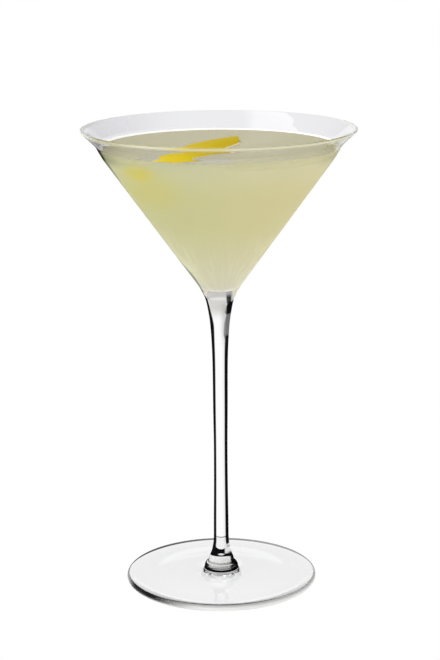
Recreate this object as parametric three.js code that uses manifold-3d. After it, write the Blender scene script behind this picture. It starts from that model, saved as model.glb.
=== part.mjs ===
// A stemmed cocktail glass, blown in one piece, with a cloudy citrus drink and a strip of lemon peel afloat.
// Millimetres, +Z up. The origin is the middle of the plane that the foot stands on, +X is to the right
// and -Y is towards the viewer.
import * as THREE from "three";
import { mergeVertices } from "three/addons/utils/BufferGeometryUtils.js";
import Module from "manifold-3d";

// Driving dimensions
const HEIGHT = 182;
const RIM_RADIUS = 53;
const FOOT_RADIUS = 38;
const FOOT_EDGE = 2.4; // thickness at the foot's edge
const FOOT_MIDDLE = 3.1; // height of the foot's top face beside the collar
const FOOT_HOLLOW = 0.8; // depth of the shallow hollow under the foot
const FOOT_RING = [29, 36.6]; // inner and outer radius of the flat ring that touches the table
const WALL = 1.05; // wall of the bowl
const WALL_LOW = 1.6; // wall where the bowl runs into the stem
const CONE_LOW = [8.57, 121]; // outer radius and height where the straight cone begins
const CONE_HIGH = [44.5, 171]; // and where it ends, under the flared lip
const BOWL_FLOOR = 120; // height of the inside of the bowl at its lowest point
const BOWL_ROUND_FROM = 125; // height on the outer face below which the inside is rounded
const DRINK_LEVEL = 174.9;
const MENISCUS = { rise: 0.7, width: 2.2 };
const GAP = 0.3; // clearance between neighbouring solids
const ROUND_STEPS = 64; // sides of everything turned

// The outer line of the glass above the foot, as [radius, height], from the foot up
const COLLAR = [
  [8.2, 3.2], [7.2, 3.45], [6.78, 4], [6.72, 4.8], [6.55, 5.5], [6.1, 6.2], [5.5, 6.75], [5.1, 7.3], [4.95, 8],
  [4.75, 8.7], [4.35, 9.6], [3.9, 10.8], [3.6, 12],
];
const STEM = [
  [3.22, 14], [2.99, 17], [2.93, 25], [2.76, 40], [2.72, 56], [2.88, 70], [3, 88], [3.32, 98], [3.85, 105.5],
  [4.5, 110], [5.35, 114.3], [6.7, 117.7],
];
const LIP = [[46.05, 173.7], [47.3, 175.9], [49.1, 177.8], [51.1, 179.7]];
const LIP_LEAN = THREE.MathUtils.degToRad(48); // of the lip at the rim, from the vertical

// The strip of peel: its line in plan, its size, and how it lies on the drink
const PEEL_PATH = [[-21, -38.8], [-13.2, -21.5], [-4, -5.5], [7.9, 12]];
const PEEL_WIDTH = 12.8;
const PEEL_THICKNESS = 1.3;
const PEEL_END_SHARE = 0.6; // width of the cut ends as a share of the widest
const PEEL_FLOAT = [0.6, 1.2, 1.6, 1.4]; // height of its middle line above the drink, end to end
const PEEL_ROLL = [-2, -4, -6, -5].map(THREE.MathUtils.degToRad); // turn about its own length
const PEEL_SLANT = [0, 0, 1.5, 5]; // how far its far side runs ahead of its middle line
const PEEL_CURVE_RADIUS = 27; // of the fruit that it was cut from
const PEEL_STEPS = { along: 30, across: 6 };

const vector = ([x, y]) => new THREE.Vector2(x, y);

// The points of a curve without its first, which the curve before it has already given.
const after = (curve, steps) => curve.getPoints(steps).slice(1);

// A value that changes smoothly along a piece, from a few stations at equal steps.
function smooth(stations, share) {
  return new THREE.SplineCurve(stations.map((value, i) => new THREE.Vector2(i, value))).getPoint(share).y;
}

// A solid of revolution about Z from a profile of (radius, height) points that starts and ends on the axis.
function turned(profile) {
  const geometry = new THREE.LatheGeometry(profile, ROUND_STEPS);
  return geometry.rotateX(Math.PI / 2);
}

// The rim is half a circle between the outer and the inner lip.
const rimRound = WALL / 2;
const rimCentre = new THREE.Vector2(RIM_RADIUS - rimRound, HEIGHT - rimRound);

function footOutline() {
  const edgeRound = FOOT_EDGE / 2;
  const edgeCentre = new THREE.Vector2(FOOT_RADIUS - edgeRound, edgeRound);
  const hollow = new THREE.QuadraticBezierCurve(
    new THREE.Vector2(0, FOOT_HOLLOW),
    new THREE.Vector2(FOOT_RING[0] * 0.6, FOOT_HOLLOW),
    new THREE.Vector2(FOOT_RING[0], 0),
  );
  const edge = new THREE.EllipseCurve(edgeCentre.x, edgeCentre.y, edgeRound, edgeRound, -Math.PI / 2, Math.PI / 2);
  return [
    ...hollow.getPoints(3),
    new THREE.Vector2(FOOT_RING[1], 0),
    ...after(edge, 6),
    new THREE.Vector2(COLLAR[0][0] + 5, FOOT_MIDDLE),
  ];
}

function stemOutline() {
  const collar = new THREE.SplineCurve(COLLAR.map(vector));
  const stem = new THREE.SplineCurve([COLLAR.at(-1), ...STEM, CONE_LOW].map(vector));
  return [...collar.getPoints(20), ...after(stem, 13)];
}

// The outer line of the lip, from the cone up to the round of the rim.
function lipLine() {
  const edge = new THREE.Vector2(Math.cos(LIP_LEAN), -Math.sin(LIP_LEAN)).multiplyScalar(rimRound).add(rimCentre);
  return new THREE.SplineCurve([...[CONE_HIGH, ...LIP].map(vector), edge]);
}

function rimOutline() {
  const round = new THREE.EllipseCurve(
    rimCentre.x, rimCentre.y, rimRound, rimRound, -LIP_LEAN, Math.PI - LIP_LEAN,
  );
  return after(round, 5);
}

// The point inside the wall, square to a line at its outer face.
function inward(point, ahead, wall) {
  return new THREE.Vector2(point.x - wall * ahead.y, point.y + wall * ahead.x);
}

// The inside of the bowl from under the rim down to the axis, or a line that stands clear of it.
function innerBowl(clear = 0) {
  const line = lipLine();
  const stations = LIP.map((station, i) => (LIP.length - i) / (LIP.length + 1));
  const lip = stations.map((share) => inward(line.getPoint(share), line.getTangent(share), WALL + clear));
  const ahead = vector(CONE_HIGH).sub(vector(CONE_LOW)).normalize();
  const high = inward(vector(CONE_HIGH), ahead, WALL + clear);
  const roundFrom = vector(CONE_LOW).addScaledVector(ahead, (BOWL_ROUND_FROM - CONE_LOW[1]) / ahead.y);
  const low = inward(roundFrom, ahead, WALL_LOW + clear);
  const bottom = BOWL_FLOOR + clear;
  const corner = new THREE.Vector2(low.x - ((low.y - bottom) * ahead.x) / ahead.y, bottom);
  const floor = new THREE.QuadraticBezierCurve(low, corner, new THREE.Vector2(0, bottom));
  return [...lip, high, ...floor.getPoints(6)];
}

function glassGeometry() {
  return turned([
    ...footOutline(), ...stemOutline(), ...lipLine().getPoints(LIP.length + 1), ...rimOutline(), ...innerBowl(),
  ]);
}

// The drink fills the bowl to its level and climbs the wall a little at its edge.
function drinkGeometry() {
  const side = innerBowl(GAP);
  const brim = DRINK_LEVEL + MENISCUS.rise;
  const wet = side.findIndex((point) => point.y < brim);
  const [above, below] = [side[wet - 1], side[wet]];
  const edge = new THREE.Vector2(THREE.MathUtils.mapLinear(brim, below.y, above.y, below.x, above.x), brim);
  const climb = new THREE.QuadraticBezierCurve(
    edge,
    new THREE.Vector2(edge.x - MENISCUS.width * 0.4, DRINK_LEVEL),
    new THREE.Vector2(edge.x - MENISCUS.width, DRINK_LEVEL),
  );
  return turned([...side.slice(wet).reverse(), ...climb.getPoints(3), new THREE.Vector2(0, DRINK_LEVEL)]);
}

// The strip of peel, bent from a flat box: x runs along it, y across it and z through its thickness.
// grow adds clearance all round and lift raises its upper face.
function peelGeometry(grow = 0, lift = 0) {
  const { along, across } = PEEL_STEPS;
  const geometry = new THREE.BoxGeometry(1, 1, 1, along, across, 1);
  const path = new THREE.CatmullRomCurve3(PEEL_PATH.map(([x, y]) => new THREE.Vector3(x, y, 0)));
  const stretch = 1 + (2 * grow) / path.getLength();
  const place = geometry.getAttribute("position");
  const point = new THREE.Vector3();
  for (let i = 0; i < place.count; i += 1) {
    point.fromBufferAttribute(place, i);
    const [share, side, top] = [point.x + 0.5, point.y * 2, point.z > 0];
    const taper = PEEL_END_SHARE + (1 - PEEL_END_SHARE) * Math.sin(Math.PI * share) ** 0.6;
    const middle = path.getPointAt(share);
    const ahead = path.getTangentAt(share);
    middle.addScaledVector(ahead, (share - 0.5) * (stretch - 1) * path.getLength() + side * smooth(PEEL_SLANT, share));
    const roll = smooth(PEEL_ROLL, share);
    const turn = roll + (side * ((PEEL_WIDTH * taper) / 2 + grow)) / PEEL_CURVE_RADIUS;
    const aside = PEEL_CURVE_RADIUS * (Math.sin(turn) - Math.sin(roll));
    const drop = PEEL_CURVE_RADIUS * (Math.cos(roll) - Math.cos(turn));
    const face = DRINK_LEVEL + smooth(PEEL_FLOAT, share) - drop;
    const height = top ? face + grow + lift : face - PEEL_THICKNESS - grow;
    place.setXYZ(i, middle.x - ahead.y * aside, middle.y + ahead.x * aside, height);
  }
  return geometry;
}

const wasm = await Module();
wasm.setup();

function solidFrom(geometry) {
  const bare = geometry.clone().deleteAttribute("normal").deleteAttribute("uv");
  const merged = mergeVertices(bare, 1e-4);
  return new wasm.Manifold(
    new wasm.Mesh({
      numProp: 3,
      vertProperties: merged.getAttribute("position").array,
      triVerts: new Uint32Array(merged.index.array),
    }),
  );
}

function geometryFrom(solid) {
  const mesh = solid.getMesh();
  return new THREE.BufferGeometry()
    .setAttribute("position", new THREE.BufferAttribute(mesh.vertProperties, 3))
    .setIndex(new THREE.BufferAttribute(mesh.triVerts, 1));
}

// The drink, cut away round and over the peel.
function drinkRoundPeel() {
  const pocket = solidFrom(peelGeometry(GAP, HEIGHT - DRINK_LEVEL));
  return geometryFrom(solidFrom(drinkGeometry()).subtract(pocket));
}

function piece(name, geometry, look) {
  const mesh = new THREE.Mesh(geometry, new THREE.MeshStandardMaterial(look));
  mesh.name = name;
  return mesh;
}

const sidecar = new THREE.Group();
sidecar.add(
  piece("glass", glassGeometry(), { color: 0xf4f6f4, roughness: 0.02, metalness: 0, transparent: true, opacity: 0.35 }),
  piece("drink", drinkRoundPeel(), { color: 0xd0cc96, roughness: 0.08, metalness: 0 }),
  piece("lemon_peel", peelGeometry(), { color: 0xe2c52a, roughness: 0.45, metalness: 0 }),
);

export default sidecar;
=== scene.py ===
"""Dresses a sidecar in a conical stemmed glass: the glass, the cloudy drink and a strip of lemon peel."""
import math

import bmesh
import bpy
from bpy.props import FloatProperty, FloatVectorProperty, IntProperty, PointerProperty
from mathutils import Matrix, Vector
from mathutils.geometry import interpolate_bezier


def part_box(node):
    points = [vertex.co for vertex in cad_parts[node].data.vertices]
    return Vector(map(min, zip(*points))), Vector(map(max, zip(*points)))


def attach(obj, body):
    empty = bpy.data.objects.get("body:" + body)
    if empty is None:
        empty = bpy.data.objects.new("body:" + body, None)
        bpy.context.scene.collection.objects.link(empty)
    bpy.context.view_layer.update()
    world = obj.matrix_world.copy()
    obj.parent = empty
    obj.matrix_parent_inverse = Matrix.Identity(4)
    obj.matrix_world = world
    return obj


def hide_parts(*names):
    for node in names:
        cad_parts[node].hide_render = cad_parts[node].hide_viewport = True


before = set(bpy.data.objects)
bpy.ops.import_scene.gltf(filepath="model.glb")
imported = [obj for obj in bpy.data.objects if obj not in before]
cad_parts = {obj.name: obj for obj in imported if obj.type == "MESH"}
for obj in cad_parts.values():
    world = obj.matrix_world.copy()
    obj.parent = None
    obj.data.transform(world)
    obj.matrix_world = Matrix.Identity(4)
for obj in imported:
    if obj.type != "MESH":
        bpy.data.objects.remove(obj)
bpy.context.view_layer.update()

bl_info = {
    "name": "Sidecar cocktail",
    "version": (1, 0, 0),
    "blender": (4, 5, 0),
    "location": "View3D > Sidebar > Sidecar",
    "description": "A conical stemmed glass with a cloudy drink and a strip of lemon peel",
    "category": "Add Mesh",
}

MM = 0.001
BODY = "root"

# The turned shape of the glass in millimetres, as (radius, height), the same as the CAD part's
RIM_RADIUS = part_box("glass")[1].x / MM
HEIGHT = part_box("glass")[1].z / MM
FOOT_EDGE = 2.4
FOOT_MIDDLE = 3.1
FOOT_HOLLOW = 0.8
FOOT_RING = (29, 36.6)
WALL_LOW = 1.6
BOWL_FLOOR = 120
BOWL_ROUND_FROM = 125
CONE_LOW = (8.57, 121)
CONE_HIGH = (44.5, 171)
COLLAR = [
    (8.2, 3.2), (7.2, 3.45), (6.78, 4), (6.72, 4.8), (6.55, 5.5), (6.1, 6.2), (5.5, 6.75),
    (5.1, 7.3), (4.95, 8), (4.75, 8.7), (4.35, 9.6), (3.9, 10.8), (3.6, 12),
]
STEM = [
    (3.22, 14), (2.99, 17), (2.93, 25), (2.76, 40), (2.72, 56), (2.88, 70), (3, 88),
    (3.32, 98), (3.85, 105.5), (4.5, 110), (5.35, 114.3), (6.7, 117.7),
]
LIP = [(46.05, 173.7), (47.3, 175.9), (49.1, 177.8), (51.1, 179.7)]
LIP_LEAN = math.radians(48)

# How far in from its outline each part of the glass above the foot is painted dark as shade, as (height,
# share)
PAINTED_SHADE_REACH = [
    (3.2, 0.1), (3.8, 0.2), (4.0, 1.1), (4.9, 1.1), (5.1, 0.6), (6.0, 0.6), (6.6, 0.3), (9.5, 0.3),
    (9.8, 1.1), (10.2, 1.1), (10.4, 0.97), (10.9, 1.0), (11.3, 1.1), (12.6, 1.1), (13.1, 0.8),
    (14, 0.78), (105, 0.78), (113, 0.55), (116, 0.45), (118, 0.12), (160, 0.1), (171, 0.2),
    (176, 0.2), (178, -0.3),
]

# The drink in millimetres: how far its side reaches into the wall, how far below its level the side comes
# back to the wall's face, and how its ripples fade up the side, as (height, share)
DRINK_SUNK = 0.15
DRINK_EDGE = 0.6
RIB_FADE = [(120, 1.0), (150, 0.3), (165, 0.0)]
RIB_RADIUS = 2

# The strip of peel in millimetres and degrees, from its near end to its far end
PEEL_PATH = [(-21, -38.8), (-13.2, -21.5), (-4, -5.5), (7.9, 12)]
PEEL_FLOAT = [0.6, 1.2, 1.6, 1.4]
PEEL_ROLL = [-2, -4, -6, -5]
PEEL_SLANT = [0, 0, 1.5, 5]
PEEL_ROUND = 0.3

# The faces along and across the strip, how steep its sharp edges are, and how far up a face of zest looks
PEEL_STEPS = (100, 24)
PEEL_SHARP = math.radians(40)
ZEST_UPWARD = 0.4

# How strongly glass and drink bend light, and the black painted as shade on the glass where it is seen on
# edge
GLASS_IOR = 1.5
DRINK_IOR = 1.34
PAINTED_EDGE_BLACK = (0.006, 0.006, 0.007)


class GlassSettings(bpy.types.PropertyGroup):
    foot_radius: FloatProperty(
        name="Foot radius", description="Radius of the foot", default=38 * MM, unit="LENGTH",
    )
    wall: FloatProperty(
        name="Wall", description="Thickness of the bowl's wall", default=1.05 * MM, unit="LENGTH",
    )
    steps: IntProperty(
        name="Steps", description="Faces round everything that is turned", default=240, min=48,
    )
    tint: FloatVectorProperty(
        name="Tint", description="Light that one face of the glass lets through", subtype="COLOR",
        default=(0.93, 0.93, 0.938), min=0, max=1,
    )


class DrinkSettings(bpy.types.PropertyGroup):
    level: FloatProperty(
        name="Level", description="Height of the surface above the table",
        default=174.9 * MM, unit="LENGTH",
    )
    climb: FloatProperty(
        name="Climb", description="Rise of the surface where it meets the wall",
        default=0.7 * MM, unit="LENGTH",
    )
    climb_width: FloatProperty(
        name="Climb width", description="Width of the curved edge of the surface",
        default=2.2 * MM, unit="LENGTH",
    )
    ribs: IntProperty(
        name="Ribs", description="Number of upright ripples inside the lower bowl", default=32, min=0,
    )
    rib_depth: FloatProperty(
        name="Rib depth", description="Depth of the ripples at the bottom", default=0.1 * MM, unit="LENGTH",
    )
    colour: FloatVectorProperty(
        name="Colour", description="Colour of the cloudy drink", subtype="COLOR",
        default=(0.875, 0.85, 0.60), min=0, max=1,
    )
    # The top is painted darker than the side, which gets a painted glow: lit and shaded copies of the one
    # drink
    surface: FloatVectorProperty(
        name="Surface", description="Colour of the surface seen from above", subtype="COLOR",
        default=(0.575, 0.535, 0.32), min=0, max=1,
    )
    # Colour of the painted glow that stands in for the peel seen through the drink
    painted_peel_glow: FloatVectorProperty(
        name="Glow", description="Colour where the peel shows through the drink", subtype="COLOR",
        default=(0.93, 0.87, 0.30), min=0, max=1,
    )


class PeelSettings(bpy.types.PropertyGroup):
    width: FloatProperty(
        name="Width", description="Width of the strip at its middle", default=12.8 * MM, unit="LENGTH",
    )
    thickness: FloatProperty(
        name="Thickness", description="Thickness of zest and pith", default=1.3 * MM, unit="LENGTH",
    )
    fruit_radius: FloatProperty(
        name="Fruit radius", description="Radius of the fruit it was cut from",
        default=27 * MM, unit="LENGTH",
    )
    end_share: FloatProperty(
        name="End share", description="Width of the cut ends as a share of the widest", default=0.6,
    )
    zest: FloatVectorProperty(
        name="Zest", description="Colour of the outer skin", subtype="COLOR",
        default=(0.88, 0.62, 0.003), min=0, max=1,
    )
    pith: FloatVectorProperty(
        name="Pith", description="Colour of the pale inside", subtype="COLOR",
        default=(0.92, 0.78, 0.62), min=0, max=1,
    )


class StageSettings(bpy.types.PropertyGroup):
    aside: FloatProperty(
        name="Aside", description="Camera to the right of the stem", default=0.00003, unit="LENGTH",
    )
    distance: FloatProperty(
        name="Distance", description="Camera in front of the stem", default=0.7072, unit="LENGTH",
    )
    height: FloatProperty(
        name="Height", description="Camera above the table", default=0.2794, unit="LENGTH",
    )
    pitch: FloatProperty(
        name="Pitch", description="Camera's turn down from level",
        default=math.radians(14.044), subtype="ANGLE",
    )
    roll: FloatProperty(
        name="Roll", description="Camera's turn about its own line of sight",
        default=math.radians(-0.366), subtype="ANGLE",
    )
    lens: FloatProperty(
        name="Lens", description="Focal length in millimetres", default=101.58,
    )
    overhead: FloatProperty(
        name="Overhead", description="Brightness of the studio above the lights' upper edge",
        default=0.42, min=0,
    )
    softbox: FloatProperty(
        name="Softbox", description="Brightness of the overhead softbox", default=3.1, min=0,
    )


class Value:
    """A socket in a shader, on which Python's arithmetic adds Math nodes."""

    def __init__(self, graph, socket):
        self.graph = graph
        self.socket = socket

    def math(self, operation, *others):
        terms = [self, *others]
        node = self.graph.node("ShaderNodeMath", {"operation": operation}, dict(enumerate(terms)))
        return Value(self.graph, node.outputs[0])

    def __add__(self, other):
        return self.math("ADD", other)

    __radd__ = __add__

    def __mul__(self, other):
        return self.math("MULTIPLY", other)

    __rmul__ = __mul__

    def __sub__(self, other):
        return self.math("SUBTRACT", other)

    def __rsub__(self, other):
        return self.math("MULTIPLY_ADD", -1, other)

    def __truediv__(self, other):
        return self.math("DIVIDE", other)

    def __pow__(self, other):
        return self.math("POWER", other)

    def size(self):
        """The value without its sign."""
        return self.math("ABSOLUTE")

    def ramp(self, start, end, low=0.0, high=1.0):
        """The value eased from low at start to high at end."""
        settings = {"interpolation_type": "SMOOTHSTEP", "clamp": True}
        sockets = {0: self, 1: start, 2: end, 3: low, 4: high}
        return Value(self.graph, self.graph.node("ShaderNodeMapRange", settings, sockets).outputs[0])

    def fall(self, start, end, high=1.0):
        """The value eased from high at start down to nothing at end."""
        return self.ramp(start, end, high, 0.0)

    def span(self, start, full, ease, end):
        """A band: the value eased in from start to full, and out again from ease to end."""
        return self.ramp(start, full) * self.fall(ease, end)


class Graph:
    """The node tree of a material or of the world."""

    def __init__(self, owner):
        owner.use_nodes = True
        self.tree = owner.node_tree
        self.tree.nodes.clear()

    def node(self, kind, settings=None, sockets=None):
        """A new node: its settings first, then its sockets by name or number."""
        made = self.tree.nodes.new(kind)
        for name, value in (settings or {}).items():
            setattr(made, name, value)
        for key, value in (sockets or {}).items():
            if isinstance(value, Value):
                value = value.socket
            if isinstance(value, bpy.types.NodeSocket):
                self.tree.links.new(value, made.inputs[key])
            else:
                made.inputs[key].default_value = value
        return made

    def value(self, kind, output, settings=None, sockets=None):
        return Value(self, self.node(kind, settings, sockets).outputs[output])

    def coordinates(self, kind):
        return self.node("ShaderNodeTexCoord").outputs[kind]

    def split(self, vector):
        """The x, y and z of a vector."""
        return [Value(self, part) for part in self.node("ShaderNodeSeparateXYZ", None, {0: vector}).outputs]

    def join(self, x, y, z=0.0):
        """The vector of an x, y and z."""
        return self.node("ShaderNodeCombineXYZ", None, {0: x, 1: y, 2: z}).outputs[0]

    def place(self):
        """The x, y and z of the object's own frame, in millimetres."""
        return [part / MM for part in self.split(self.coordinates("Object"))]

    def upward(self):
        """How far the surface looks up, from -1 to 1."""
        return self.split(self.coordinates("Normal"))[2]

    def turned_away(self, **sockets):
        """How far the surface, or another direction, is turned away from the eye."""
        return self.value("ShaderNodeLayerWeight", "Facing", None, {"Blend": 0.5, **sockets})

    def noise(self, scale, detail=2.0, vector=None):
        """A noise pattern with scale waves to the metre of the object, or to one unit of the vector."""
        if vector is None:
            vector = self.coordinates("Object")
        sockets = {"Vector": vector, "Scale": scale, "Detail": detail}
        return self.value("ShaderNodeTexNoise", 0, None, sockets)

    def blend(self, factor, first, second):
        """A colour between two colours, each a socket or three numbers."""
        colours = [(*c, 1.0) if isinstance(c, tuple) else c for c in (first, second)]
        sockets = {0: factor, 6: colours[0], 7: colours[1]}
        return self.node("ShaderNodeMix", {"data_type": "RGBA"}, sockets).outputs[2]

    def tinted(self, base, tints):
        """A colour with (amount, colour) tints laid over it in order."""
        for amount, tint in tints:
            base = self.blend(amount, base, tint)
        return base

    def bump(self, relief, strength, depth):
        """The normal over fine relief, its depth in millimetres."""
        sockets = {"Strength": strength, "Distance": depth * MM, "Height": relief}
        return self.node("ShaderNodeBump", None, sockets).outputs[0]

    def mix(self, factor, first, second):
        """A shader between two shaders."""
        return self.node("ShaderNodeMixShader", None, {0: factor, 1: first, 2: second}).outputs[0]

    def painted_over(self, shader, amount, tone):
        """The shader under painted light or shade: one matt colour mixed over it by an uneven amount."""
        cover = self.node("ShaderNodeBsdfDiffuse", None, {"Color": (*tone, 1.0)})
        return self.mix(amount, shader, cover.outputs[0])

    def finish(self, shader, kind="ShaderNodeOutputMaterial"):
        self.node(kind, None, {"Surface": shader})


def new_material(name):
    material = bpy.data.materials.new(name)
    return material, Graph(material)


def colour(prop):
    return tuple(prop)


def spline(stations, steps):
    """Points along a smooth line through the stations, with some steps to each gap."""
    points = [Vector(station) for station in stations]
    line = []
    for i, (start, end) in enumerate(zip(points, points[1:])):
        before = points[max(i - 1, 0)]
        beyond = points[min(i + 2, len(points) - 1)]
        handles = (start + (end - before) / 6, end - (beyond - start) / 6)
        line += interpolate_bezier(start, *handles, end, steps + 1)[:-1]
    return line + [points[-1]]


def bow(start, corner, end, steps):
    """Points along a curve that leaves start and reaches end in the direction of the corner."""
    start, corner, end = Vector(start), Vector(corner), Vector(end)
    return interpolate_bezier(start, start.lerp(corner, 2 / 3), end.lerp(corner, 2 / 3), end, steps + 1)


def arc(centre, radius, start, end, steps):
    """Points round part of a circle, with its angles from the first axis."""
    angles = [start + (end - start) * i / steps for i in range(steps + 1)]
    return [Vector(centre) + radius * Vector((math.cos(a), math.sin(a))) for a in angles]


def straight(start, end, steps):
    """Points at equal steps from start to end."""
    return [Vector(start).lerp(Vector(end), i / steps) for i in range(steps + 1)]


def at_share(line, share):
    """The point and direction at a share of the length of a line of points."""
    lengths = [(b - a).length for a, b in zip(line, line[1:])]
    left = share * sum(lengths)
    for i, length in enumerate(lengths):
        if left <= length or i == len(lengths) - 1:
            return line[i].lerp(line[i + 1], left / length), (line[i + 1] - line[i]).normalized()
        left -= length


def eased(stations, value):
    """The second number of (position, number) stations at a position, straight from each to the next."""
    for (low, first), (high, second) in zip(stations, stations[1:]):
        if value <= high:
            share = max(0.0, (value - low) / (high - low))
            return first + (second - first) * share
    return stations[-1][1]


def inward(line, wall):
    """A line shifted square to itself, into the glass from its outer face."""
    shifted = []
    for i, point in enumerate(line):
        ahead = (line[min(i + 1, len(line) - 1)] - line[max(i - 1, 0)]).normalized()
        shifted.append(point + wall * Vector((-ahead.y, ahead.x)))
    return shifted


def lip_line(wall):
    """The outer face of the lip, from the cone up to the round of the rim, and the centre of that round."""
    centre = Vector((RIM_RADIUS - wall / 2, HEIGHT - wall / 2))
    edge = centre + wall / 2 * Vector((math.cos(LIP_LEAN), -math.sin(LIP_LEAN)))
    return spline([CONE_HIGH, *LIP, edge], steps=6), centre


def inner_bowl(wall, clear=0.0):
    """The inside of the bowl from under the rim down to the axis, or a line at some distance inside it."""
    outer, _ = lip_line(wall)
    ahead = (Vector(CONE_HIGH) - Vector(CONE_LOW)).normalized()
    round_from = Vector(CONE_LOW) + ahead * (BOWL_ROUND_FROM - CONE_LOW[1]) / ahead.y
    low = round_from + (WALL_LOW + clear) * Vector((-ahead.y, ahead.x))
    bottom = BOWL_FLOOR + clear
    corner = Vector((low.x - (low.y - bottom) * ahead.x / ahead.y, bottom))
    lip = list(reversed(inward(outer, wall + clear)))
    cone = straight(lip[-1], low, steps=20)
    return [*lip, *cone[1:-1], *bow(low, corner, (0, bottom), steps=10)]


def foot_line(radius):
    """The foot from the hollow under its middle, round its edge and up to the collar."""
    edge_round = FOOT_EDGE / 2
    hollow = bow((0, FOOT_HOLLOW), (FOOT_RING[0] * 0.6, FOOT_HOLLOW), (FOOT_RING[0], 0), steps=8)
    edge = arc((radius - edge_round, edge_round), edge_round, -math.pi / 2, math.pi / 2, steps=12)
    top = straight(edge[-1], (COLLAR[0][0] + 5, FOOT_MIDDLE), steps=6)
    return [*hollow, Vector((FOOT_RING[1], 0)), *edge[1:], *top[1:]]


def stem_line():
    """The outer face of the collar, the stem and the straight cone, up to the lip."""
    collar = spline(COLLAR, steps=5)
    stem = spline([COLLAR[-1], *STEM, CONE_LOW], steps=4)
    return [*collar[:-1], *stem[:-1], *straight(CONE_LOW, CONE_HIGH, steps=20)[:-1]]


def turned_mesh(profile, steps, number=None):
    """A mesh turned about Z from points in millimetres; number gives each point a value of its own."""
    mesh = bmesh.new()
    layer = mesh.verts.layers.float.new("reach") if number else None
    verts = []
    for point in profile:
        vert = mesh.verts.new((point.x * MM, 0, point.y * MM))
        if number:
            vert[layer] = number(point)
        verts.append(vert)
    edges = [mesh.edges.new(pair) for pair in zip(verts, verts[1:])]
    bmesh.ops.spin(
        mesh, geom=verts + edges, cent=(0, 0, 0), axis=(0, 0, 1), angle=math.tau, steps=steps,
        use_merge=True,
    )
    bmesh.ops.remove_doubles(mesh, verts=mesh.verts[:], dist=0.001 * MM)
    bmesh.ops.recalc_face_normals(mesh, faces=mesh.faces[:])
    return mesh


def add_piece(name, mesh, materials):
    """The bmesh as a smooth object in the scene."""
    data = bpy.data.meshes.new(name)
    mesh.to_mesh(data)
    mesh.free()
    data.shade_smooth()
    for material in materials:
        data.materials.append(material)
    piece = bpy.data.objects.new(name, data)
    bpy.context.scene.collection.objects.link(piece)
    return piece


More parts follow.
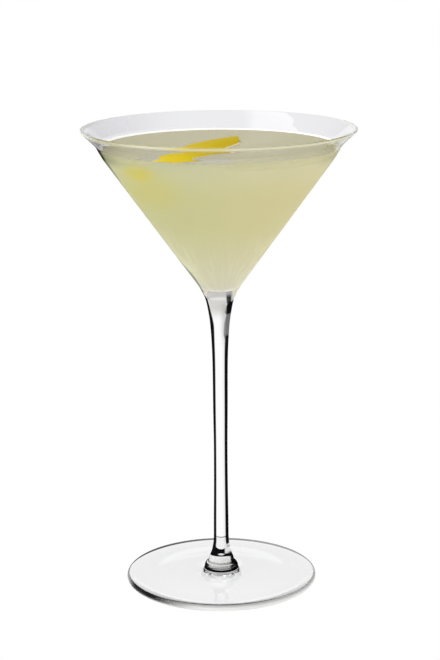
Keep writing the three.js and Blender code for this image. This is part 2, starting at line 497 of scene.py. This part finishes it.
class ClearGlass:
    """The look of the glass: clear, painted dark where it is seen on edge, and with painted highlights,
    reflections and shade at set places.
    """

    def __init__(self, settings):
        self.tint = colour(settings.tint)
        self.material, self.graph = new_material("clear_glass")
        self.place = self.graph.place()
        x, y, z = self.place
        self.radius = (x * x + y * y) ** 0.5
        self.upward = self.graph.upward()
        self.outside = 1 - self.graph.value("ShaderNodeNewGeometry", "Backfacing")
        self.front = y.fall(-12.0, 12.0)
        self.right = x.ramp(0.0, 2.0)
        self.on_stem = z.span(14.0, 18.0, 98.0, 106.0)
        self.on_bowl = z.ramp(116.0, 121.0)
        # Where painted grey shade lies right of the throat
        self.grey_throat = self.right * z.span(99.0, 102.0, 109.0, 111.0)
        self.facing = self.turned_away()

    def build(self):
        # Painted shade and light, laid over the clear glass as matt colours
        layers = [
            (self.painted_edge_shade(), PAINTED_EDGE_BLACK), *self.rim_painted_light(), *self.lip_painted_light(), *self.foot_painted_highlight(),
            *self.throat_painted_shade(), *self.collar_painted_highlight(),
        ]
        look = self.clear()
        for amount, tone in layers:
            look = self.graph.painted_over(look, amount, tone)
        self.graph.finish(look)
        return self.material

    def clear(self):
        """Glass that refracts and mirrors, clearer in the foot and stem than in the bowl."""
        graph, z = self.graph, self.place[2]
        thick = {"Color": (0.99, 0.99, 0.992, 1.0), "Roughness": 0.0, "IOR": GLASS_IOR}
        thick = graph.node("ShaderNodeBsdfRefraction", None, thick)
        thin = {"Color": (*self.tint, 1.0), "Roughness": 0.0, "IOR": GLASS_IOR}
        thin = graph.node("ShaderNodeBsdfRefraction", None, thin)
        bare = graph.mix(z.ramp(112.0, 122.0), thick.outputs[0], thin.outputs[0])
        gloss = {"Color": (1.0, 1.0, 1.0, 1.0), "Roughness": 0.0}
        gloss = graph.node("ShaderNodeBsdfGlossy", None, gloss)
        mirror = graph.value("ShaderNodeFresnel", 0, None, {"IOR": GLASS_IOR})
        dull = self.on_bowl * self.upward.ramp(-0.3, 0.2, 0.85, 0.2) + z.fall(3.0, 3.4, 0.4)
        within = mirror + (mirror.ramp(0.3, 0.95) - mirror) * self.on_bowl
        strength = mirror * (1 - dull) * self.outside + within * (1 - self.outside)
        return graph.mix(strength, bare, gloss.outputs[0])

    def turned_away(self):
        """How far the surface is turned from the eye; on the stem, as if the eye were level with it."""
        x, y, _ = self.place
        plain = self.graph.turned_away()
        sideways = self.graph.join(y * -1 / self.radius, x / self.radius)
        aside = 1 - self.graph.turned_away(Normal=sideways)
        level = 1 - (0.94 - aside * aside).math("MAXIMUM", 0.0) ** 0.5
        return plain + (level - plain) * self.on_stem

    def painted_edge_shade(self):
        """Painted shade: how dark the glass is painted where it is seen on edge, as a studio's black flags
        beside the camera would make it.
        """
        x, _, z = self.place
        grazing = self.grazing()
        shade = grazing.ramp(0.8, 1.0, 0.0, 0.16) * x.ramp(-1.0, 2.0) * z.span(3.0, 4.0, 112.0, 118.0)
        edges = grazing.ramp(0.99, 1.07) * self.depth() + shade
        on_foot = z.fall(3.0, 3.2)
        edges = edges * (1 - on_foot) + self.foot_lines() * on_foot
        return (edges + self.lip_ends() + self.streak()) * self.outside

    def grazing(self):
        """How nearly the glass is seen on edge, with more where its painted dark edge is wider."""
        x, _, z = self.place
        wider = [
            self.graph.value("ShaderNodeAttribute", "Fac", {"attribute_name": "reach"}),
            self.right * z.span(6.0, 6.6, 9.4, 9.8) * 0.4,
            self.right * self.on_stem * 0.05,
            self.right * z.span(109.0, 111.0, 113.5, 115.0) * 0.25,
            self.grey_throat * 0.12,
            x.fall(-2.0, 0.0) * z.span(117.0, 119.0, 124.0, 134.0) * 0.22,
        ]
        return sum(wider, self.facing)

    def depth(self):
        """How dark the painted dark edge gets: less on the bowl, at the collar's shine and right of the
        throat.
        """
        x, _, z = self.place
        bowl = self.on_bowl * (0.45 + x.ramp(-8.0, 30.0) * 0.45)
        shine = x.ramp(1.0, 1.8) * z.span(10.4, 11.2, 14.0, 14.8) * 0.95
        throat = self.right * z.ramp(114.0, 115.5) * (1 - self.on_bowl) * 0.9
        return 1 - bowl - shine - self.grey_throat * 0.33 - throat

    def foot_lines(self):
        """Painted shade: the dark ring inside the foot's edge, and the fainter line round its front."""
        x, y, z = self.place
        inner = y.size().ramp(0.0, 36.0, 37.3, 34.6)
        ring = (self.radius - inner).ramp(0.0, 0.2) * z.ramp(1.2, 1.4)
        ring = ring * y.ramp(-14.0, -4.0) * x.ramp(-34.0, 34.0, 0.9, 0.6)
        brink = self.radius.ramp(37.6, 37.9) * z.span(0.5, 0.7, 1.2, 1.5) * y.ramp(-12.0, -20.0) * 0.22
        return ring + brink

    def lip_ends(self):
        """Painted shade on the lip's left and right ends, below the rim."""
        x, y, z = self.place
        left = (x.fall(-46.0, -31.0, 0.42) + x.fall(-44.5, -42.0, 0.1)) * z.fall(179.5, 181.4)
        right = x.ramp(33.0, 44.0, 0.0, 0.22) * z.fall(178.0, 180.6)
        return (left + right) * z.ramp(169.0, 173.0) * y.fall(-10.0, 10.0) * self.facing.ramp(0.2, 0.5)

    def streak(self):
        """One painted dark streak up the right of the throat."""
        x, y, z = self.place
        across = x.span(2.3, 2.8, 4.1, 4.8) * y.fall(-1.0, 1.0) * self.facing.ramp(0.18, 0.3)
        return across * z.ramp(113.4, 114.4) * z.fall(116.5, 119.2, 0.95)

    def rim_painted_light(self):
        """Painted light on the rim: drink and peel painted into its front, a painted pale reflection inside
        the lip, and painted highlights at its ends and along its back.
        """
        x, y, z = self.place
        outer_rim = self.outside * self.upward.fall(0.5, 0.6)
        rim = outer_rim * z.ramp(180.9, 181.1)
        front = rim * self.front
        lemon = x.ramp(-22.0, -13.0, 0.0, 0.85) * x.fall(0.0, 6.0)
        painted_inner_reflection = x.fall(-46.0, -12.0, 0.35) * y.ramp(-5.0, 10.0) * z.ramp(175.5, 177.0)
        ends = x.size().ramp(44.0, 50.0, 0.0, 0.7) * z.ramp(181.0, 181.3)
        return [
            (outer_rim * z.ramp(180.3, 180.5) * self.front * 0.85, (0.60, 0.575, 0.38)),
            (front * x.ramp(-42.0, -28.0, 0.1, 0.85), (0.86, 0.83, 0.62)),
            (front * lemon, (0.84, 0.68, 0.17)),
            (painted_inner_reflection * self.upward.ramp(0.0, 0.2) * self.outside, (0.78, 0.76, 0.87)),
            (ends * self.outside, (0.88, 0.88, 0.86)),
            (rim * (1 - self.front) * 0.8, (0.93, 0.93, 0.96)),
        ]

    def lip_painted_light(self):
        """The front of the lip with the drink behind it painted on, and a painted dark shade at its right
        end.
        """
        x, _, z = self.place
        front = self.front * self.outside
        lip = z.span(172.0, 174.5, 180.2, 180.6) * self.upward.fall(-0.1, 0.1)
        painted_drink_view = (x + 12.0).size().ramp(13.0, 20.0) * z.ramp(176.0, 180.0, 0.3, 0.1) * x.ramp(-47.0, -38.0)
        painted_notch_shade = x.ramp(37.5, 40.5) * x.fall(43.2, 45.0, 0.7) * z.span(176.5, 178.0, 180.2, 180.7)
        return [
            (lip * painted_drink_view * front, (0.64, 0.60, 0.30)),
            (painted_notch_shade * front, (0.44, 0.42, 0.26)),
        ]

    def foot_painted_highlight(self):
        """A painted highlight on the edge of the foot, which fades to the left and away from its middle
        height.
        """
        x, y, z = self.place
        edge = self.radius.ramp(36.7, 37.0) * z.fall(2.4, 2.6) * y.fall(0.0, 8.0) * self.outside
        crest = 1 - (z - 1.2).size().ramp(0.2, 1.2, 0.0, 0.45)
        left_end = y.ramp(-16.0, -6.0, 0.0, 0.5) * x.fall(-20.0, 0.0)
        return [(edge * crest * (left_end + x.ramp(-28.0, -6.0, 0.0, 0.95)), (0.97, 0.97, 0.96))]

    def throat_painted_shade(self):
        """The painted grey shade where the stem widens into the bowl."""
        x, _, z = self.place
        middle = (x / self.radius).ramp(-0.82, -0.72) * x.fall(2.2, 2.9) * self.outside
        low = z.ramp(107.0, 113.0) * z.fall(115.4, 116.4, 0.68)
        high = z.ramp(115.4, 116.4, 0.0, 0.6) * z.fall(119.0, 120.0)
        beside = x.ramp(-0.5, 1.8, 0.0, 0.45) * x.fall(1.8, 2.6) * z.span(94.0, 104.0, 113.0, 116.0)
        return [
            (low * middle, (0.56, 0.54, 0.49)),
            (high * middle, (0.75, 0.72, 0.67)),
            (beside * self.outside, (0.50, 0.50, 0.49)),
        ]

    def collar_painted_highlight(self):
        """A painted pale highlight over the middle of the collar."""
        x, _, z = self.place
        collar = z.span(5.2, 5.6, 9.2, 9.6) * x.span(-5.4, -4.6, 3.0, 4.2)
        return [(collar * self.outside * 0.55, (0.86, 0.86, 0.84))]


def spot(x, z, centre, stretch):
    """The distance from an upright spot's centre, with heights counted more by the stretch."""
    return ((x - centre[0]) ** 2 + ((z - centre[1]) * stretch) ** 2) ** 0.5


def drink_material(settings):
    """Cloudy pale gold, paler at the bottom, ribbed low down with painted rib shade and painted glints,
    with a painted glow where the peel shows through at the left, a painted dark corner at the upper left,
    and a painted glow of its own.
    """
    material, graph = new_material("cloudy_drink")
    x, y, z = graph.place()
    radius = (x * x + y * y + 0.01) ** 0.5
    # Painted glow: yellow spots where the peel shows through at the left
    painted_peel_glow = spot(x, z, (-29.0, 169.4), 1.7).fall(1.0, 10.0, 0.85)
    painted_peel_glow = painted_peel_glow.math("MAXIMUM", spot(x, z, (-25.0, 163.0), 1.3).fall(1.0, 17.0, 0.36))
    painted_peel_glow = painted_peel_glow * y.fall(-15.0, 0.0)
    # Painted glints: bright streaks in the colour and glow, more at the sides
    upright = graph.join(x * 20 / radius, y * 20 / radius, z * 0.12)
    side = (x.size() / radius).ramp(0.45, 0.9, 0.15, 0.75)
    painted_glints = graph.noise(1.0, 3.0, upright).ramp(0.48, 0.58) * side * z.fall(122.0, 150.0, 0.9)

    # Painted rib shade: the colour lightens and darkens with each rib low down
    painted_rib_shade = (y.math("ARCTAN2", x) * settings.ribs).math("SINE") * z.fall(120.0, 138.0, 0.5) + 0.5
    body = graph.blend(painted_rib_shade, colour(settings.colour), tuple(1.05 * c for c in settings.colour))
    body = graph.tinted(body, [
        (z.fall(120.0, 152.0, 0.9), (0.94, 0.92, 0.86)),
        (z.ramp(160.0, 172.0, 0.0, 0.75), (0.93, 0.92, 0.76)),
        # painted glints
        (painted_glints, (0.98, 0.97, 0.80)),
        (z.fall(120.3, 121.3), (0.97, 0.96, 0.92)),
        # painted glow of the peel seen through the drink
        (painted_peel_glow, colour(settings.painted_peel_glow)),
        # painted shade: the upper left corner darkened to olive
        (z.ramp(169.0, 172.5) * x.fall(-48.0, -36.0, 0.8), (0.34, 0.345, 0.26)),
    ])
    # Painted glow: the drink gives off a faint gold light of its own, more to the right, with more where
    # the peel's glow and the glints are painted
    within = graph.blend(x.ramp(-35.0, 35.0), (0.11, 0.12, 0.028), (0.16, 0.135, 0.045))
    within = graph.tinted(within, [(painted_peel_glow, (0.15, 0.12, 0.0)), (painted_glints, (0.42, 0.42, 0.24))])

    level = settings.level / MM
    # Painted highlight along the meniscus where the surface climbs the wall: pale and glowing, whiter at
    # the back
    climb = z.ramp(level + 0.06, level + 0.2)
    far = y.ramp(-30.0, -10.0)
    pale = graph.blend(far, (0.75, 0.72, 0.42), (0.97, 0.96, 0.94))
    bright = graph.blend(far, (0.26, 0.255, 0.15), (0.35, 0.345, 0.33))
    on_top = graph.upward().ramp(0.02, 0.1)
    # The top takes the darker surface colour and no glow; the side takes the body colour and the painted
    # glow
    shader = graph.node("ShaderNodeBsdfPrincipled", None, {
        "Base Color": graph.blend(on_top, body, graph.blend(climb, colour(settings.surface), pale)),
        "Roughness": 0.05, "IOR": DRINK_IOR, "Specular IOR Level": 0.02,
        "Emission Color": graph.blend(on_top, within, graph.blend(climb, (0.0, 0.0, 0.0), bright)),
        "Emission Strength": 1.0,
    })
    graph.finish(shader.outputs[0])
    return material


def zest_material(settings):
    """Waxy lemon skin with fine pores, with painted light: lighter and glowing towards its near end, darker
    towards its far end.
    """
    material, graph = new_material("lemon_zest")
    pores = graph.value("ShaderNodeTexVoronoi", "Distance", None, {
        "Vector": graph.coordinates("Object"), "Scale": 900.0,
    }).ramp(0.05, 0.45)
    y = graph.place()[1]
    tone = graph.blend(graph.noise(220.0), colour(settings.zest), (0.95, 0.75, 0.006))
    # Painted shade: the peel darkens towards its far end
    tone = graph.blend(y.ramp(-38.0, 8.0), tone, (0.70, 0.52, 0.012))
    shader = graph.node("ShaderNodeBsdfPrincipled", None, {
        "Base Color": tone, "Roughness": 0.4, "Specular IOR Level": 0.005,
        "Normal": graph.bump(pores, strength=0.35, depth=0.15),
        # Painted light: the near end glows
        "Emission Color": graph.blend(y.ramp(-38.0, -5.0), (0.16, 0.12, 0.0), (0.0, 0.0, 0.0)),
        "Emission Strength": 1.0,
    })
    graph.finish(shader.outputs[0])
    return material


def pith_material(settings):
    """The pale fibrous inside of the peel, with a painted glow that lifts it out of its shade."""
    material, graph = new_material("lemon_pith")
    fibres = graph.noise(700.0, 4.0)
    shader = graph.node("ShaderNodeBsdfPrincipled", None, {
        "Base Color": graph.blend(fibres, colour(settings.pith), (0.92, 0.86, 0.66)),
        "Roughness": 0.6, "Specular IOR Level": 0.02,
        "Normal": graph.bump(fibres, strength=0.3, depth=0.1),
        # Painted light: the pith glows faintly
        "Emission Color": (0.30, 0.24, 0.20, 1.0), "Emission Strength": 1.0,
    })
    graph.finish(shader.outputs[0])
    return material


class SIDECAR_OT_glass(bpy.types.Operator):
    """Turn the glass in one piece and put it in place of the CAD node"""
    bl_idname = "sidecar.glass"
    bl_label = "Glass"

    def execute(self, context):
        settings = context.scene.sidecar_glass
        wall = settings.wall / MM
        outer_lip, rim_centre = lip_line(wall)
        rim = arc(rim_centre, wall / 2, -LIP_LEAN, math.pi - LIP_LEAN, steps=10)
        foot = foot_line(settings.foot_radius / MM)
        profile = [*foot, *stem_line(), *outer_lip, *rim[1:-1], *inner_bowl(wall)]
        mesh = turned_mesh(profile, settings.steps, lambda point: eased(PAINTED_SHADE_REACH, point.y))
        piece = add_piece("stemmed_glass", mesh, [ClearGlass(settings).build()])
        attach(piece, BODY)
        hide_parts("glass")
        return {"FINISHED"}


class SIDECAR_OT_drink(bpy.types.Operator):
    """Fill the bowl with the cloudy drink, a little into the wall so that no air shows between them"""
    bl_idname = "sidecar.drink"
    bl_label = "Drink"

    def execute(self, context):
        settings = context.scene.sidecar_drink
        level = settings.level / MM
        brim = level + settings.climb / MM
        width = settings.climb_width / MM
        side = self.outline(context.scene.sidecar_glass.wall / MM, level, brim)
        wet = next(i for i, point in enumerate(side) if point.y < brim)
        above, below = side[wet - 1], side[wet]
        edge = below.lerp(above, (brim - below.y) / (above.y - below.y))
        climb = bow(edge, (edge.x - width * 0.4, level), (edge.x - width, level), steps=8)
        flat = straight(climb[-1], (0, level), steps=8)
        profile = [*reversed(side[wet:]), *climb, *flat[1:]]
        mesh = turned_mesh(profile, context.scene.sidecar_glass.steps)
        self.add_ribs(mesh, settings)
        piece = add_piece("cloudy_drink", mesh, [drink_material(settings)])
        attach(piece, BODY)
        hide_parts("drink")
        return {"FINISHED"}

    def outline(self, wall, level, brim):
        """The line down the side of the drink, inside the wall but for its upper edge, which lies on it."""
        pairs = zip(inner_bowl(wall, clear=-DRINK_SUNK), inner_bowl(wall))
        stations = [(level - DRINK_EDGE, 0.0), (brim, 1.0)]
        return [sunk.lerp(on_wall, eased(stations, sunk.y)) for sunk, on_wall in pairs]

    def add_ribs(self, mesh, settings):
        """Press upright ripples into the side, deepest at the bottom."""
        for vert in mesh.verts:
            radius = vert.co.xy.length
            if vert.co.z > RIB_FADE[-1][0] * MM or radius < RIB_RADIUS * MM:
                continue
            fade = eased(RIB_FADE, vert.co.z / MM)
            angle = math.atan2(vert.co.y, vert.co.x)
            wave = settings.rib_depth * fade * math.cos(settings.ribs * angle)
            vert.co.xy *= 1 - (settings.rib_depth + wave) / 2 / radius


class SIDECAR_OT_peel(bpy.types.Operator):
    """Bend a strip of lemon peel and float it on the drink"""
    bl_idname = "sidecar.peel"
    bl_label = "Lemon peel"

    def execute(self, context):
        settings = context.scene.sidecar_peel
        mesh = bmesh.new()
        bmesh.ops.create_grid(mesh, x_segments=PEEL_STEPS[0], y_segments=PEEL_STEPS[1], size=0.5)
        self.bend(mesh, settings, context.scene.sidecar_drink.level)
        bmesh.ops.recalc_face_normals(mesh, faces=mesh.faces[:])
        if mesh.faces[:][0].normal.z < 0:
            bmesh.ops.reverse_faces(mesh, faces=mesh.faces[:])
        bmesh.ops.solidify(mesh, geom=mesh.faces[:], thickness=settings.thickness)
        mesh.normal_update()
        for face in mesh.faces:
            face.material_index = 0 if face.normal.z > ZEST_UPWARD else 1
        sharp = [edge for edge in mesh.edges if edge.calc_face_angle(0) > PEEL_SHARP]
        bmesh.ops.bevel(
            mesh, geom=sharp, offset=PEEL_ROUND * MM, segments=3, profile=0.5, affect="EDGES", material=-1,
        )
        bmesh.ops.recalc_face_normals(mesh, faces=mesh.faces[:])
        materials = [zest_material(settings), pith_material(settings)]
        piece = add_piece("lemon_peel_strip", mesh, materials)
        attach(piece, BODY)
        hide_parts("lemon_peel")
        return {"FINISHED"}

    def bend(self, mesh, settings, level):
        """Lay a flat square along the path, tapered, rolled and curved like the fruit."""
        path = [point * MM for point in spline(PEEL_PATH, steps=20)]
        lifts, rolls, slants = [
            spline(list(enumerate(values)), steps=20) for values in (PEEL_FLOAT, PEEL_ROLL, PEEL_SLANT)
        ]
        for vert in mesh.verts:
            share, side = vert.co.x + 0.5, vert.co.y * 2
            point, ahead = at_share(path, share)
            station = round(share * (len(lifts) - 1))
            roll = math.radians(rolls[station].y)
            point = point + ahead * (side * slants[station].y * MM)
            bulge = max(0.0, math.sin(math.pi * share)) ** 0.6
            taper = settings.end_share + (1 - settings.end_share) * bulge
            turn = roll + side * settings.width * taper / 2 / settings.fruit_radius
            aside = settings.fruit_radius * (math.sin(turn) - math.sin(roll))
            drop = settings.fruit_radius * (math.cos(roll) - math.cos(turn))
            height = level + lifts[station].y * MM - drop
            vert.co = (point.x - ahead.y * aside, point.y + ahead.x * aside, height)


class SIDECAR_OT_stage(bpy.types.Operator):
    """Set the white studio, its overhead softbox and the camera"""
    bl_idname = "sidecar.stage"
    bl_label = "Stage"

    def execute(self, context):
        settings = context.scene.sidecar_stage
        self.light(context.scene, settings)
        data = bpy.data.cameras.new("camera")
        data.lens = settings.lens
        data.sensor_width = 36
        data.clip_start = 0.01
        data.clip_end = 20
        camera = bpy.data.objects.new("camera", data)
        context.scene.collection.objects.link(camera)
        place = Matrix.Translation((settings.aside, -settings.distance, settings.height))
        tilt = Matrix.Rotation(math.pi / 2 - settings.pitch, 4, "X")
        camera.matrix_world = place @ tilt @ Matrix.Rotation(settings.roll, 4, "Z")
        context.scene.camera = camera
        context.scene.view_settings.view_transform = "Standard"
        return {"FINISHED"}

    def light(self, scene, settings):
        """White all round up to the lights' upper edge, dimmer above it, and a softbox overhead."""
        world = bpy.data.worlds.new("studio")
        scene.world = world
        graph = Graph(world)
        x, y, height = graph.split(graph.coordinates("Generated"))
        room = height.ramp(0.23, 0.32, 1.0, settings.overhead)
        across = x / height.math("MAXIMUM", 0.01)
        along = y / height.math("MAXIMUM", 0.01)
        right_side = (across - along * 0.4).fall(-0.34, -0.18)
        far_side = (along - across * 0.26).fall(0.48, 0.52)
        box = right_side * far_side * across.ramp(-1.8, -1.6) * along.ramp(-0.95, -0.85)
        box = box * height.ramp(0.2, 0.3)
        strength = room + box * (settings.softbox - settings.overhead)
        lamp = graph.node("ShaderNodeBackground", None, {"Color": (1, 1, 1, 1), "Strength": strength})
        graph.finish(lamp.outputs[0], "ShaderNodeOutputWorld")


class SIDECAR_PT_panel(bpy.types.Panel):
    """Everything that the sidecar is made of"""
    bl_label = "Sidecar"
    bl_idname = "SIDECAR_PT_panel"
    bl_space_type = "VIEW_3D"
    bl_region_type = "UI"
    bl_category = "Sidecar"

    def draw(self, context):
        for section, _, operator in SECTIONS:
            box = self.layout.box()
            settings = getattr(context.scene, section)
            for name in settings.__annotations__:
                box.prop(settings, name)
            box.operator(operator.bl_idname)


SECTIONS = [
    ("sidecar_glass", GlassSettings, SIDECAR_OT_glass),
    ("sidecar_drink", DrinkSettings, SIDECAR_OT_drink),
    ("sidecar_peel", PeelSettings, SIDECAR_OT_peel),
    ("sidecar_stage", StageSettings, SIDECAR_OT_stage),
]


def register():
    for section, group, operator in SECTIONS:
        bpy.utils.register_class(group)
        setattr(bpy.types.Scene, section, PointerProperty(type=group))
        bpy.utils.register_class(operator)
    bpy.utils.register_class(SIDECAR_PT_panel)


def unregister():
    bpy.utils.unregister_class(SIDECAR_PT_panel)
    for section, group, operator in SECTIONS:
        bpy.utils.unregister_class(operator)
        delattr(bpy.types.Scene, section)
        bpy.utils.unregister_class(group)


def main():
    register()
    bpy.ops.sidecar.glass()
    bpy.ops.sidecar.drink()
    bpy.ops.sidecar.peel()
    bpy.ops.sidecar.stage()


if __name__ == "__main__":
    main()
